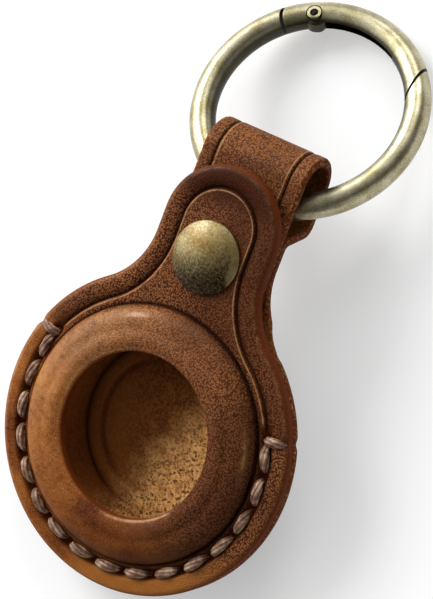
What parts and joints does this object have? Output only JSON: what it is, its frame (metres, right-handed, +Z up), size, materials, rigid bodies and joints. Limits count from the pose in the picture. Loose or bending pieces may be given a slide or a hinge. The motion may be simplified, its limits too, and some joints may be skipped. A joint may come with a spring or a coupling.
{
  "type": "tracker tag holder",
  "caption": "Round leather holder for a tracker tag, with a window, a snap flap, a stitched rim and a strap loop round a spring gate ring.",
  "frame": {"origin": "centre of the overall box, on the surface that the holder lies on", "axes": "+X to the right, +Y from the pocket towards the ring, +Z up, out of the front"},
  "size_m": [0.048, 0.0952, 0.0194],
  "materials": {
    "front_leather": "oiled, smooth grain",
    "back_leather": "oiled grain, rough flesh side",
    "thread": "waxed twisted thread",
    "antique_brass": "antique, brushed back to bright on the edges",
    "spring_steel": "plain"
  },
  "bodies": {
    "holder": {"front_pocket": "front_leather", "back_panel": "back_leather", "seam_thread": "thread", "snap_stud": "antique_brass", "stud_post": "antique_brass"},
    "flap": {"front_flap": "front_leather", "snap_cap": "antique_brass", "snap_socket": "antique_brass", "socket_spring": "spring_steel"},
    "ring": {"ring_body": "antique_brass", "gate_pin": "antique_brass"},
    "gate": {"ring_gate": "antique_brass", "gate_spring": "spring_steel"}
  },
  "joints": [
    {"name": "flap_open", "type": "hinge", "parent": "holder", "child": "flap", "pos_m": [0, -0.01541, 0.01597], "axis": [1, 0, 0], "range_deg": [0, 70]},
    {"name": "ring_swing", "type": "hinge", "parent": "holder", "child": "ring", "pos_m": [0, 0.01576, 0.01108], "axis": [1, 0, 0], "range_deg": [-32, 88]},
    {"name": "gate_open", "type": "hinge", "parent": "ring", "child": "gate", "pos_m": [-0.00708, 0.04333, 0.0027], "axis": [0, -0.2908, -0.9568], "range_deg": [0, 25], "stiffness_Nm_per_rad": 0.01, "springref_deg": -22.92}
  ]
}
